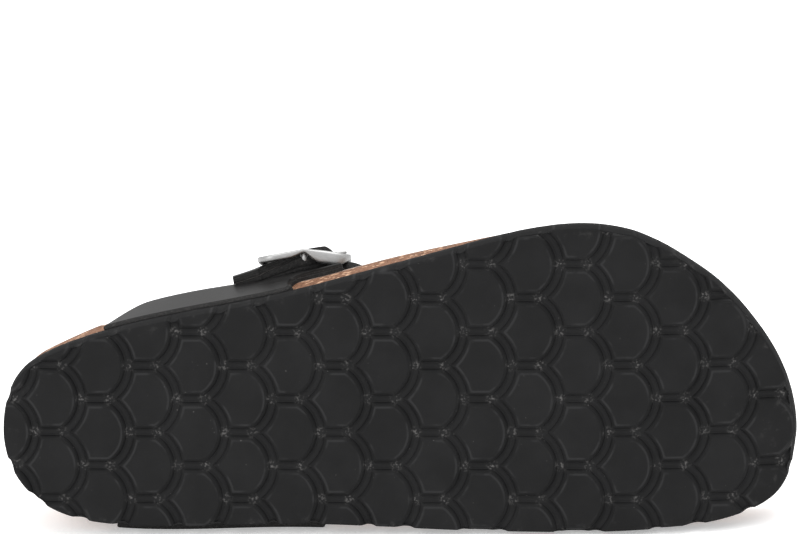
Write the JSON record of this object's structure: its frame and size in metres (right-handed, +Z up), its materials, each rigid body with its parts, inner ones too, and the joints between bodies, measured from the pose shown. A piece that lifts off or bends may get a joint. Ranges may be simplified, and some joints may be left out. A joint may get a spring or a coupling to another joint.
{
  "type": "toe post sandal",
  "caption": "Right toe post sandal with a contoured cork footbed, black leather upper fastened by a metal buckle at the side, and a black treaded foam sole, lying on its medial side.",
  "frame": {"origin": "centre of the bounding box on the floor, the shoe lying on its medial side", "axes": "+X from heel to toe, -Y the way the tread faces, +Z up, towards the lateral edge"},
  "size_m": [0.258, 0.0854, 0.1003],
  "materials": {
    "black_foam": "matt moulded foam rubber",
    "cork": "sealed granular cork",
    "suede": "napped suede lining",
    "black_leather": "smooth semi-gloss leather",
    "satin_steel": "satin"
  },
  "bodies": {
    "root": {"outsole": "black_foam", "footbed": "cork", "insole": "suede", "upper": "black_leather", "side_strap": "black_leather", "toe_post": "black_leather", "buckle_frame": "satin_steel", "buckle_prong": "satin_steel"}
  },
  "joints": []
}
